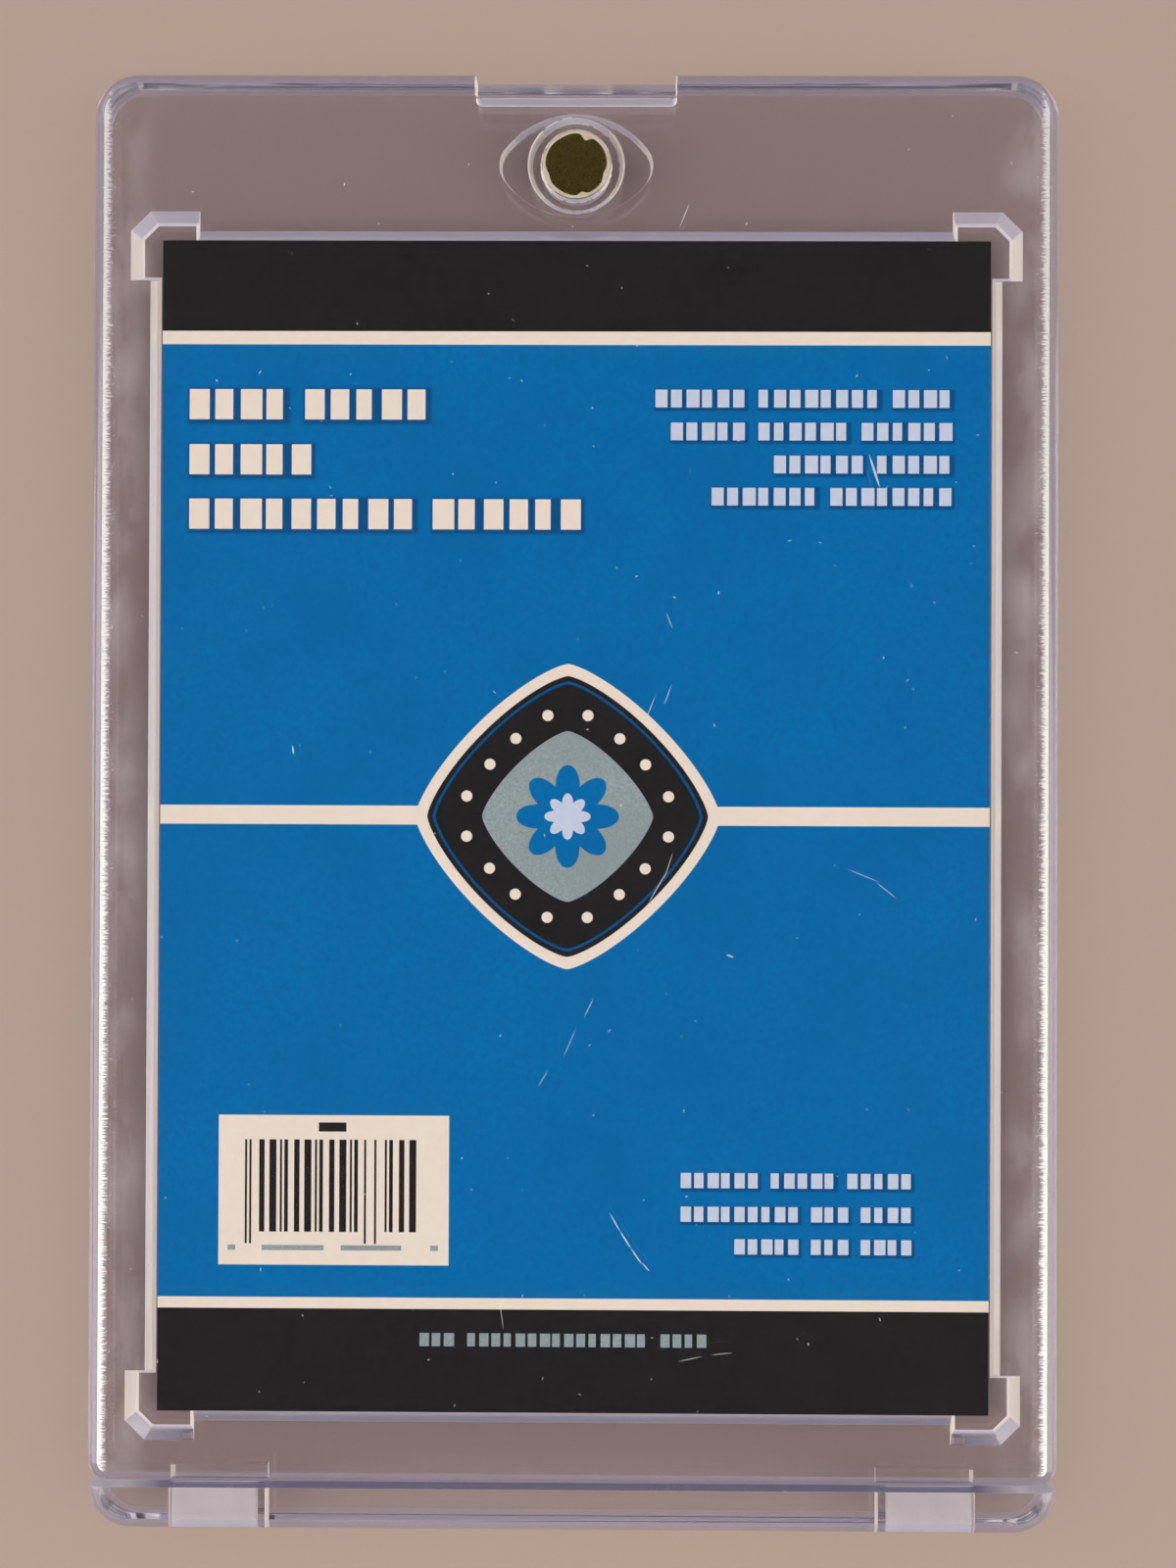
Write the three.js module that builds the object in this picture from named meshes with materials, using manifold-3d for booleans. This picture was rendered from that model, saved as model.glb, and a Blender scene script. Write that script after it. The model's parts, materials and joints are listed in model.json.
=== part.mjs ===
// Clear two-part magnetic holder for one trading card, lying on its back. Millimetres, +Z up.
// The origin is the centre of the back face. +Y points to the magnet end, and +X to the right.
import * as THREE from 'three';
import { mergeVertices } from 'three/addons/utils/BufferGeometryUtils.js';
import Module from 'manifold-3d';

// Trading card and the well that takes it
const cardWidth = 63.5;
const cardHeight = 88.9;
const wellClearance = 0.2; // on each side of the card, at the well's floor
const wellDepth = 2.0;
const wellDraft = 0.15; // how far a well wall leans out from floor to rim
const wellFloor = 1.5; // wall left under the well
const wellFootRadius = 0.3; // round the floor, where it meets the walls

// Finger relief at each corner of the well
const reliefReach = 1.5; // how far it stands out past the well's rim
const reliefLength = 5.2;
const reliefChamfer = 1.45;
const reliefDraft = 0.4;

// Printed insert card that lies in the well
const insertThickness = 0.35;
const insertSideGap = 0.45;
const insertEndGap = 0.15;
const insertSeatGap = 0.02; // between the card and the foot radius that its ends rest on

// Outer form of the two halves
const sideRim = 4.05; // from the well's rim to the side face
const cornerRadius = 3.3;
const rearFillet = 0.8;
const lidThickness = 3.2;
const partingGap = 0.1; // between the closed halves
const frontFillet = 1.2;
const lidFootRadius = 1.6; // plan radius of the lid's two corners beside the bar

// Bottom bar of the base and the hinge
const barDepth = 3.25;
const barGap = 0.2; // between the lid's end and the bar
const barLand = 1.84; // base left between the well's reliefs and the tab pockets
const hingeInset = 0.4; // turning axis, inside the lid's end face
const openAngle = THREE.MathUtils.degToRad(30);
const sweepClearance = 0.15; // round the swinging tabs

// Hook tabs of the lid and their windows in the bar
const tabWidth = 6.3;
const tabInset = 6.25; // from the side face to the tab
const tabThickness = 1.3;
const tabSetback = 0.15; // tab end, inside the bar's outer face
const tabNose = 0.45; // radius of the tab's outer edges
const windowInnerGap = 0.75; // beside the tab, towards the middle
const windowOuterGap = 0.2;
const windowRoofGap = 0.2;

// Magnets, their glue and pockets
const magnetDiameter = 5.0;
const magnetThickness = 1.3;
const magnetChamfer = 0.2;
const glueThickness = 0.1;
const pocketClearance = 0.15; // round the magnet
const magnetSetback = 0.1; // magnet face, inside the face it sits behind

// Round boss under the lid and the recess that takes it
const bossWall = 0.95; // at its root
const bossDrop = 1.0;
const bossDraft = 0.25; // how much smaller its radius is at its face
const bossGap = 0.2; // under the boss
const eyeClearance = 0.29; // above and below the boss in plan
const eyeReach = 1.9; // how much further each end reaches to the side
const eyeEndRadius = 2.0;
const eyeDraft = 0.15;
const eyeLand = 1.11; // base left between the recess and the well

// Thumb notch in the lid's top edge
const notchWidth = 15.0;
const notchDepth = 2.0;
const notchRadius = 0.4;
const notchLand = 0.61; // lid left between the notch and the recess below it

// Moulding gate mark, sunk in the bar's end face
const gateWidth = 4.5;
const gateHeight = 0.8;
const gateDepth = 0.2;
const gateRise = 2.0; // its lower edge above the back face

// Fineness of the curves
const arcSteps = 12;
const filletSteps = 6;
const footSteps = 4;
const roundSteps = 64;
const mergeTolerance = 1e-4;
const overcut = 1; // how far a cutter stands past the face it opens

// Heights
const parting = wellFloor + wellDepth;
const footOverlap = Math.max(wellFootRadius - Math.min(insertEndGap, insertSideGap), 0);
const footRise = wellFootRadius - Math.sqrt(wellFootRadius ** 2 - footOverlap ** 2);
const insertFloor = wellFloor + footRise + insertSeatGap;
const lidUnderside = parting + partingGap;
const front = lidUnderside + lidThickness;
const bossFace = lidUnderside - bossDrop;
const eyeFloor = bossFace - bossGap;
const pocketDepth = magnetSetback + magnetThickness + glueThickness;
const hingeHeight = front - frontFillet;
const tabTop = lidUnderside + tabThickness;

// Path of the lid's lower edge and of the tab about the hinge, at full opening
const openSine = Math.sin(openAngle);
const openCosine = Math.cos(openAngle);
const undersideDrop = hingeHeight - lidUnderside;
const rootReach = undersideDrop * openSine - hingeInset * openCosine;
const rootHeight = hingeHeight - hingeInset * openSine - undersideDrop * openCosine;
const dipReach = rootReach - ((rootHeight - parting) * openCosine) / openSine;
const tabPocketReach = barGap + hingeInset + Math.max(dipReach, 0) + sweepClearance;
const tabLength = barGap + barDepth - tabSetback;
const tabDip = (hingeInset + tabLength) * openSine + undersideDrop * openCosine;
const windowFloor = hingeHeight - tabDip - sweepClearance;

// Plan sizes
const wellRimWidth = cardWidth + 2 * (wellClearance + wellDraft);
const wellRimHeight = cardHeight + 2 * (wellClearance + wellDraft);
const pocketRadius = magnetDiameter / 2 + pocketClearance;
const bossRadius = pocketRadius + bossWall;
const eyeHeight = 2 * (bossRadius + eyeClearance);
const eyeWidth = eyeHeight + 2 * eyeReach;
const topRim = eyeLand + eyeHeight + notchLand + notchDepth;
const bottomRim = reliefReach + barLand + tabPocketReach + barDepth;
const holderWidth = wellRimWidth + 2 * sideRim;
const holderLength = bottomRim + wellRimHeight + topRim;

// Places along the holder
const topEnd = holderLength / 2;
const bottomEnd = -holderLength / 2;
const barFace = bottomEnd + barDepth;
const lidEnd = barFace + barGap;
const hingeLine = lidEnd + hingeInset;
const wellCentre = bottomEnd + bottomRim + wellRimHeight / 2;
const magnetCentre = topEnd - notchDepth - notchLand - eyeHeight / 2;
const tabCentre = holderWidth / 2 - tabInset - tabWidth / 2;

const wasm = await Module();
wasm.setup();

// A closed three.js geometry as a solid that can be joined and cut.
function solid(geometry) {
  const bare = geometry.clone();
  bare.deleteAttribute('normal');
  bare.deleteAttribute('uv');
  const merged = mergeVertices(bare, mergeTolerance);
  const vertProperties = merged.attributes.position.array;
  const triVerts = new Uint32Array(merged.index.array);
  return new wasm.Manifold(new wasm.Mesh({ numProp: 3, vertProperties, triVerts }));
}

// A solid as a named mesh with a material of its own.
function part(name, shape, material) {
  const made = shape.getMesh();
  const geometry = new THREE.BufferGeometry();
  geometry.setAttribute('position', new THREE.BufferAttribute(made.vertProperties, 3));
  geometry.setIndex(new THREE.BufferAttribute(made.triVerts, 1));
  geometry.computeVertexNormals();
  const mesh = new THREE.Mesh(geometry, material);
  mesh.name = name;
  return mesh;
}

function clearPlastic() {
  return new THREE.MeshStandardMaterial({
    color: 0xe9edf2,
    roughness: 0.06,
    metalness: 0,
    transparent: true,
    opacity: 0.3,
  });
}

function block(left, right, low, high, bottom, top) {
  const box = new THREE.BoxGeometry(right - left, high - low, top - bottom);
  box.translate((left + right) / 2, (low + high) / 2, (bottom + top) / 2);
  return solid(box);
}

// A rectangle with one radius at its two lower corners and another at its two upper ones.
function roundedOutline(halfWidth, low, high, lowRadius, highRadius) {
  const outline = new THREE.Shape();
  const quarter = Math.PI / 2;
  outline.moveTo(-halfWidth + lowRadius, low);
  outline.absarc(halfWidth - lowRadius, low + lowRadius, lowRadius, -quarter, 0, false);
  outline.absarc(halfWidth - highRadius, high - highRadius, highRadius, 0, quarter, false);
  outline.absarc(-halfWidth + highRadius, high - highRadius, highRadius, quarter, 2 * quarter, false);
  outline.absarc(-halfWidth + lowRadius, low + lowRadius, lowRadius, 2 * quarter, 3 * quarter, false);
  return outline;
}

// A slab of the outline whose rim is rounded by the fillet at both faces.
function filletedSlab(outline, bottom, top, fillet) {
  const slab = new THREE.ExtrudeGeometry(outline, {
    depth: top - bottom - 2 * fillet,
    bevelThickness: fillet,
    bevelSize: fillet,
    bevelOffset: -fillet,
    bevelSegments: filletSteps,
    curveSegments: arcSteps,
  });
  slab.translate(0, 0, bottom + fillet);
  return solid(slab);
}

// A cutter that has the outline at the rim and narrows by the draft down to the floor.
function draftedCutter(outline, floor, rim, draft, centreX, centreY) {
  const cutter = new THREE.ExtrudeGeometry(outline, {
    depth: overcut,
    bevelThickness: rim - floor,
    bevelSize: draft,
    bevelOffset: -draft,
    bevelSegments: 1,
    curveSegments: arcSteps,
  });
  cutter.translate(centreX, centreY, rim);
  return solid(cutter);
}

// A profile of [radius, height] points, turned round the vertical axis.
function turned(points) {
  const profile = points.map(([radius, height]) => new THREE.Vector2(radius, height));
  const lathe = new THREE.LatheGeometry(profile, roundSteps);
  lathe.rotateX(Math.PI / 2);
  return solid(lathe);
}

// A drafted cutter whose lower edge is rounded, so that it leaves a radius round the floor.
function footedCutter(outline, floor, rim, draft, foot, centreX, centreY) {
  const footDraft = (draft * (rim - floor - foot)) / (rim - floor);
  const walls = draftedCutter(outline, floor + foot, rim, footDraft, centreX, centreY);
  const sole = new THREE.ExtrudeGeometry(outline, {
    depth: rim - floor - foot,
    bevelThickness: foot,
    bevelSize: foot,
    bevelOffset: -footDraft - foot,
    bevelSegments: footSteps,
    curveSegments: arcSteps,
  });
  sole.translate(centreX, centreY, floor + foot);
  return walls.add(solid(sole));
}

function disc(radius, bottom, top, chamfer) {
  const points = [[0, bottom], [radius - chamfer, bottom]];
  if (chamfer > 0) {
    points.push([radius, bottom + chamfer], [radius, top - chamfer]);
  }
  points.push([radius - chamfer, top], [0, top]);
  return turned(points);
}

// The well's rectangle and its four chamfered corner reliefs.
function wellCutter() {
  const halfWidth = wellRimWidth / 2;
  const halfHeight = wellRimHeight / 2;
  const rectangle = new THREE.Shape();
  rectangle.moveTo(-halfWidth, -halfHeight);
  rectangle.lineTo(halfWidth, -halfHeight);
  rectangle.lineTo(halfWidth, halfHeight);
  rectangle.lineTo(-halfWidth, halfHeight);
  let cutter = footedCutter(rectangle, wellFloor, parting, wellDraft, wellFootRadius, 0, wellCentre);
  for (const sideX of [-1, 1]) {
    for (const sideY of [-1, 1]) {
      const outerX = sideX * (halfWidth + reliefReach);
      const outerY = sideY * (halfHeight + reliefReach);
      const corner = [
        [outerX, outerY - sideY * reliefLength],
        [outerX, outerY - sideY * reliefChamfer],
        [outerX - sideX * reliefChamfer, outerY],
        [outerX - sideX * reliefLength, outerY],
        [outerX - sideX * reliefLength, outerY - sideY * reliefLength],
      ];
      const points = corner.map(([x, y]) => new THREE.Vector2(x, y));
      const outline = new THREE.Shape(points);
      const relief = footedCutter(outline, wellFloor, parting, reliefDraft, wellFootRadius, 0, wellCentre);
      cutter = cutter.add(relief);
    }
  }
  return cutter;
}

// The eye-shaped recess: two wide arcs, joined at its left and right by the smaller arcs of its ends.
function eyeCutter() {
  const halfHeight = eyeHeight / 2;
  const endPlace = eyeWidth / 2 - eyeEndRadius;
  const radius = (endPlace ** 2 + halfHeight ** 2 - eyeEndRadius ** 2) / (2 * (halfHeight - eyeEndRadius));
  const drop = radius - halfHeight;
  const turn = Math.atan2(drop, endPlace);
  const eye = new THREE.Shape();
  eye.absarc(endPlace, 0, eyeEndRadius, -turn, turn, false);
  eye.absarc(0, -drop, radius, turn, Math.PI - turn, false);
  eye.absarc(-endPlace, 0, eyeEndRadius, Math.PI - turn, Math.PI + turn, false);
  eye.absarc(0, drop, radius, Math.PI + turn, 2 * Math.PI - turn, false);
  return draftedCutter(eye, eyeFloor, parting, eyeDraft, 0, magnetCentre);
}

// A window through the bar with the pocket behind it that the tab dips into.
function windowCutter(side) {
  const inner = tabCentre - tabWidth / 2 - windowInnerGap;
  const outer = tabCentre + tabWidth / 2 + windowOuterGap;
  const left = Math.min(side * inner, side * outer);
  const right = Math.max(side * inner, side * outer);
  const roof = tabTop + windowRoofGap;
  const through = block(left, right, bottomEnd - overcut, barFace + overcut, windowFloor, roof);
  const pocket = block(left, right, barFace, barFace + tabPocketReach, windowFloor, parting + overcut);
  return through.add(pocket);
}

function makeBase() {
  const halfWidth = holderWidth / 2;
  const outline = roundedOutline(halfWidth, bottomEnd, topEnd, cornerRadius, cornerRadius);
  const rearRounded = filletedSlab(outline, 0, front + 2 * rearFillet, rearFillet);
  const frontRounded = filletedSlab(outline, -2 * frontFillet, front, frontFillet);
  const lidSpace = block(
    -halfWidth - overcut,
    halfWidth + overcut,
    barFace,
    topEnd + overcut,
    parting,
    front + overcut,
  );
  const gate = block(
    -gateWidth / 2,
    gateWidth / 2,
    bottomEnd - overcut,
    bottomEnd + gateDepth,
    gateRise,
    gateRise + gateHeight,
  );
  const pocket = disc(pocketRadius, eyeFloor - pocketDepth, eyeFloor + overcut, 0);
  return rearRounded
    .intersect(frontRounded)
    .subtract(lidSpace)
    .subtract(wellCutter())
    .subtract(eyeCutter())
    .subtract(pocket.translate([0, magnetCentre, 0]))
    .subtract(windowCutter(-1))
    .subtract(windowCutter(1))
    .subtract(gate);
}

// One hook tab: a flat plate with a rounded nose, run across its width.
function tabSolid(centreX) {
  const root = lidEnd + hingeInset;
  const nose = lidEnd - tabLength;
  const quarter = Math.PI / 2;
  const side = new THREE.Shape();
  side.moveTo(root, lidUnderside);
  side.lineTo(root, tabTop);
  side.absarc(nose + tabNose, tabTop - tabNose, tabNose, quarter, 2 * quarter, false);
  side.absarc(nose + tabNose, lidUnderside + tabNose, tabNose, 2 * quarter, 3 * quarter, false);
  const plate = new THREE.ExtrudeGeometry(side, {
    depth: tabWidth,
    bevelEnabled: false,
    curveSegments: filletSteps,
  });
  // The outline's two axes become Y and Z, and its depth runs along X.
  const left = centreX - tabWidth / 2;
  const toSide = new THREE.Matrix4().set(0, 0, 1, left, 1, 0, 0, 0, 0, 1, 0, 0, 0, 0, 0, 1);
  plate.applyMatrix4(toSide);
  return solid(plate);
}

// The notch runs through the lid, open at its top edge, with small radii at its two inner corners.
function notchCutter() {
  const outline = roundedOutline(
    notchWidth / 2,
    topEnd - notchDepth,
    topEnd + 2 * overcut,
    notchRadius,
    notchRadius,
  );
  const cutter = new THREE.ExtrudeGeometry(outline, {
    depth: lidThickness + 2 * overcut,
    bevelEnabled: false,
    curveSegments: filletSteps,
  });
  cutter.translate(0, 0, lidUnderside - overcut);
  return solid(cutter);
}

function makeLid() {
  const halfWidth = holderWidth / 2;
  const outline = roundedOutline(halfWidth, lidEnd, topEnd, lidFootRadius, cornerRadius);
  const slab = filletedSlab(outline, lidUnderside - 2 * frontFillet, front, frontFillet);
  const below = block(
    -halfWidth - overcut,
    halfWidth + overcut,
    lidEnd - overcut,
    topEnd + overcut,
    lidUnderside - 3 * frontFillet,
    lidUnderside,
  );
  const boss = turned([
    [0, bossFace],
    [bossRadius - bossDraft, bossFace],
    [bossRadius, lidUnderside],
    [bossRadius, lidUnderside + overcut],
    [0, lidUnderside + overcut],
  ]);
  const pocket = disc(pocketRadius, bossFace - overcut, bossFace + pocketDepth, 0);
  return slab
    .subtract(below)
    .add(tabSolid(-tabCentre))
    .add(tabSolid(tabCentre))
    .subtract(notchCutter())
    .add(boss.translate([0, magnetCentre, 0]))
    .subtract(pocket.translate([0, magnetCentre, 0]));
}

function makeMagnet(name, bottom) {
  const gold = new THREE.MeshStandardMaterial({ color: 0x8a7a3c, roughness: 0.25, metalness: 1 });
  const magnet = part(name, disc(magnetDiameter / 2, bottom, bottom + magnetThickness, magnetChamfer), gold);
  magnet.position.set(0, magnetCentre, 0);
  return magnet;
}

function makeGlue(name, bottom) {
  const amber = new THREE.MeshStandardMaterial({ color: 0xd9cfa8, roughness: 0.3, metalness: 0 });
  const glue = part(name, disc(magnetDiameter / 2, bottom, bottom + glueThickness, 0), amber);
  glue.position.set(0, magnetCentre, 0);
  return glue;
}

function makeInsertCard() {
  const sheet = new THREE.BoxGeometry(
    wellRimWidth - 2 * (wellDraft + insertSideGap),
    wellRimHeight - 2 * (wellDraft + insertEndGap),
    insertThickness,
  );
  const print = new THREE.MeshStandardMaterial({ color: 0x0b62a4, roughness: 0.45, metalness: 0 });
  const card = part('insert_card', solid(sheet), print);
  card.position.set(0, wellCentre, insertFloor + insertThickness / 2);
  return card;
}

const lidPocketRoof = bossFace + pocketDepth;
const basePocketFloor = eyeFloor - pocketDepth;

const baseGroup = new THREE.Group();
baseGroup.add(
  part('base', makeBase(), clearPlastic()),
  makeGlue('base_glue', basePocketFloor),
  makeMagnet('base_magnet', basePocketFloor + glueThickness),
  makeInsertCard(),
);

// The lid's pieces hang in a group whose origin is on the hinge line, so that turning it opens the lid.
const lidPieces = new THREE.Group();
lidPieces.position.set(0, -hingeLine, -hingeHeight);
lidPieces.add(
  part('lid', makeLid(), clearPlastic()),
  makeGlue('lid_glue', lidPocketRoof - glueThickness),
  makeMagnet('lid_magnet', lidPocketRoof - glueThickness - magnetThickness),
);
const lidGroup = new THREE.Group();
lidGroup.position.set(0, hingeLine, hingeHeight);
lidGroup.add(lidPieces);

const holder = new THREE.Group();
holder.add(baseGroup, lidGroup);

export default holder;
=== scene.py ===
import json
import math
import bmesh
import bpy
import numpy as np
from mathutils import Matrix, Vector


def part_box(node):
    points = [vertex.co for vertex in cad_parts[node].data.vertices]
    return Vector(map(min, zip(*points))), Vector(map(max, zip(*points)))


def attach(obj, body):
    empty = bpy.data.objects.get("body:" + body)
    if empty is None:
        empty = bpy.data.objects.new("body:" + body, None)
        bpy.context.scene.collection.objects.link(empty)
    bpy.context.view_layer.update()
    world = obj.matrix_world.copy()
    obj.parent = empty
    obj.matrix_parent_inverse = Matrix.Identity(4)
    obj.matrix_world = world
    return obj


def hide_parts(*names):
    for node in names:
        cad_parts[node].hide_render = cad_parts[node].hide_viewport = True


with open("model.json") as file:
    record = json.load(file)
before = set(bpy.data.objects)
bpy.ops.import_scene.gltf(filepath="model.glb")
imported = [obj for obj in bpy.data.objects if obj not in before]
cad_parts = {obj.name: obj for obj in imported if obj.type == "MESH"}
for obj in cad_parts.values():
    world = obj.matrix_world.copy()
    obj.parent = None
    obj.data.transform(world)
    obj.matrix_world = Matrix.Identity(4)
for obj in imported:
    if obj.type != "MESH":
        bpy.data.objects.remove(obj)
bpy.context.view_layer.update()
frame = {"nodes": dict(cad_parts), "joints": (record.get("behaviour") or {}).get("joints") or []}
print("frame loaded")

mm = 0.001


def toLinear(red, green, blue):
    # screen colour in 0-255 to the linear values that shaders take
    screen = np.array([red, green, blue]) / 255
    linear = np.where(screen <= 0.04045, screen / 12.92, ((screen + 0.055) / 1.055) ** 2.4)
    return (*[float(v) for v in linear], 1.0)


# what the later pieces line up with, all read from the frame
lidLow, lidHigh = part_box("lid")
baseLow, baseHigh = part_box("base")
cardLow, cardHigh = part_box("insert_card")
hinge = Vector(frame["joints"][0]["pos_m"])
pastHinge = 0.4 * mm
lidEnd = hinge.y - pastHinge   # the lid's bottom end, past which only its tabs reach


# camera

cameraView = {
    "pixelsPerMetre": 13346,   # at the printed card's face
    "distance": 0.180,         # lens to the card
    "imageHeight": 1600,
    "sensor": 36,
    "right": 1.03 * mm,        # where the lens axis meets the card
    "up": 1.285 * mm,
    "leanRight": 0.0105,       # lens stands this share of the distance off the vertical
    "leanFoot": 0.0085,
    "roll": math.radians(0.22),
    "nearest": 0.005,          # what the lens shows lies between these two distances
    "farthest": 20,
}


def makeCamera(v):
    data = bpy.data.cameras.new("viewCamera")
    data.sensor_fit = "VERTICAL"
    data.sensor_height = v["sensor"]
    data.lens = v["pixelsPerMetre"] * v["distance"] / v["imageHeight"] * v["sensor"]
    data.clip_start = v["nearest"]
    data.clip_end = v["farthest"]
    target = Vector((v["right"], v["up"], cardHigh.z))
    back = Vector((v["leanRight"], -v["leanFoot"], 1)).normalized()
    up = Vector((-math.sin(v["roll"]), math.cos(v["roll"]), 0))
    right = up.cross(back).normalized()
    up = back.cross(right)
    place = Matrix((right, up, back)).transposed().to_4x4()
    place.translation = target + back * v["distance"]
    camera = bpy.data.objects.new("viewCamera", data)
    camera.matrix_world = place
    bpy.context.scene.collection.objects.link(camera)
    bpy.context.scene.camera = camera


makeCamera(cameraView)
bpy.context.scene.view_settings.view_transform = "Standard"
print("camera set")


# node helpers

def newMaterial(name):
    material = bpy.data.materials.new(name)
    material.use_nodes = True
    tree = material.node_tree
    tree.nodes.clear()
    output = tree.nodes.new("ShaderNodeOutputMaterial")
    return material, tree, output


def addNode(tree, kind, settings=None, **inputs):
    node = tree.nodes.new(kind)
    for key, value in (settings or {}).items():
        setattr(node, key, value)
    for key, value in inputs.items():
        socket = node.inputs[key.replace("_", " ")]
        if isinstance(value, bpy.types.NodeSocket):
            tree.links.new(value, socket)
        else:
            socket.default_value = value
    return node


def objectNoise(tree, scale, detail, stretch=(1, 1, 1)):
    # noise on Object coordinates, stretched by a Mapping node
    place = addNode(tree, "ShaderNodeTexCoord")
    mapping = addNode(tree, "ShaderNodeMapping", Vector=place.outputs["Object"])
    mapping.inputs["Scale"].default_value = stretch
    return addNode(tree, "ShaderNodeTexNoise", Vector=mapping.outputs["Vector"], Scale=scale, Detail=detail)


def mathNode(tree, operation, first, second=0.0):
    node = addNode(tree, "ShaderNodeMath", {"operation": operation})
    for socket, value in zip(node.inputs, (first, second)):
        if isinstance(value, bpy.types.NodeSocket):
            tree.links.new(value, socket)
        else:
            socket.default_value = value
    return node.outputs[0]


def objectParts(tree):
    # node whose outputs are X, Y and Z on Object coordinates
    place = addNode(tree, "ShaderNodeTexCoord")
    return addNode(tree, "ShaderNodeSeparateXYZ", Vector=place.outputs["Object"])


def addBump(tree, noise, strength, depth):
    bump = addNode(tree, "ShaderNodeBump", Height=noise.outputs[0], Strength=strength, Distance=depth)
    return bump.outputs["Normal"]


def spread(tree, value, low, high, fromLow=0.3, fromHigh=0.7):
    # value between fromLow and fromHigh laid out between low and high, and held there outside
    node = addNode(tree, "ShaderNodeMapRange", Value=value)
    node.inputs["From Min"].default_value = fromLow
    node.inputs["From Max"].default_value = fromHigh
    node.inputs["To Min"].default_value = low
    node.inputs["To Max"].default_value = high
    return node.outputs["Result"]


def mixColours(tree, factor, first, second):
    node = addNode(tree, "ShaderNodeMix", {"data_type": "RGBA"})
    for socket, value in ((node.inputs[0], factor), (node.inputs[6], first), (node.inputs[7], second)):
        if isinstance(value, bpy.types.NodeSocket):
            tree.links.new(value, socket)
        else:
            socket.default_value = value
    return node.outputs[2]


# materials

plasticLook = {
    "lidTint": (0.93, 0.92, 0.955, 1),
    "baseTint": (0.83, 0.815, 0.885, 1),
    "ior": 1.585,
    "lampPass": (0.948, 0.944, 0.956, 1),   # share of lamp light let through at each face
    "roughness": (0.012, 0.045),
    "hazeGrain": 220,
    "ripple": 0.03,                         # slow unevenness that a moulded face has
    "rippleGrain": 45,
    "rippleDepth": 0.3 * mm,
}

# band beside the lid's long edges that is pale, partly from wear by handling and partly a painted
# highlight, with short strokes along its inner side
rubAndHighlightLook = {
    "tint": (1.0, 0.97, 0.92, 1),
    "start": (0.72 * mm, 0.88 * mm),    # distances in from the side over which it begins
    "end": (1.12 * mm, 1.50 * mm),      # and over which it ends
    "stroke": 1.3 * mm,                 # how far the strokes throw that inner side about
    "strokeGrain": 9000,
    "strokeStretch": (0.14, 1, 1),
    "opaque": 0.9,
    "roughness": 0.3,
    "highlightAtMagnetEnd": 0.55,                # share of the painted highlight that is left towards the magnet end
    "face": (0.2 * mm, 0.1 * mm),       # only above this depth, fading in between the two
    "haze": 0.18,                       # how milky the rim's faint clouds get
    "hazeFrom": (31.0 * mm, 33.5 * mm),   # distances from the middle over which they come in
    "hazeGrain": 330,
    "hazeStretch": (1, 0.5, 1),
    "hazeCover": (0.42, 0.72),
}


def letLampsThrough(tree, shader, share):
    # light on its way to the print or the floor goes straight through, and only what the eye sees is bent
    clear = addNode(tree, "ShaderNodeBsdfTransparent", Color=share)
    path = addNode(tree, "ShaderNodeLightPath")
    for ray in ("Is Diffuse Ray", "Is Shadow Ray"):
        mix = addNode(tree, "ShaderNodeMixShader", Fac=path.outputs[ray])
        tree.links.new(shader, mix.inputs[1])
        tree.links.new(clear.outputs[0], mix.inputs[2])
        shader = mix.outputs[0]
    return shader


def rubAndHighlightShare(tree, look):
    # 1 in the band of wear and painted highlight and 0 away from it, by the distance in from the nearer
    # long side, with haze on the rim
    parts = objectParts(tree)
    outward = mathNode(tree, "ABSOLUTE", parts.outputs["X"])
    fromSide = mathNode(tree, "SUBTRACT", lidHigh.x, outward)
    hairs = objectNoise(tree, look["strokeGrain"], 3, look["strokeStretch"])
    thrown = mathNode(tree, "MULTIPLY", mathNode(tree, "SUBTRACT", hairs.outputs[0], 0.5), look["stroke"])
    inner = mathNode(tree, "SUBTRACT", fromSide, thrown)
    begins = spread(tree, fromSide, 0, 1, *look["start"])
    ends = spread(tree, inner, 1, 0, *look["end"])
    # the painted highlight fades from the foot towards the magnet end
    along = spread(tree, parts.outputs["Y"], 1, look["highlightAtMagnetEnd"], -lidHigh.y / 2, lidHigh.y)
    front = spread(tree, parts.outputs["Z"], 0, 1, *[lidHigh.z - depth for depth in look["face"]])
    share = mathNode(tree, "MULTIPLY", mathNode(tree, "MULTIPLY", begins, ends), along)
    clouds = objectNoise(tree, look["hazeGrain"], 4, look["hazeStretch"])
    haze = spread(tree, clouds.outputs[0], 0, look["haze"], *look["hazeCover"])
    onRim = spread(tree, outward, 0, 1, *look["hazeFrom"])
    share = mathNode(tree, "MAXIMUM", share, mathNode(tree, "MULTIPLY", haze, onRim))
    return mathNode(tree, "MULTIPLY", share, front)


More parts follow.
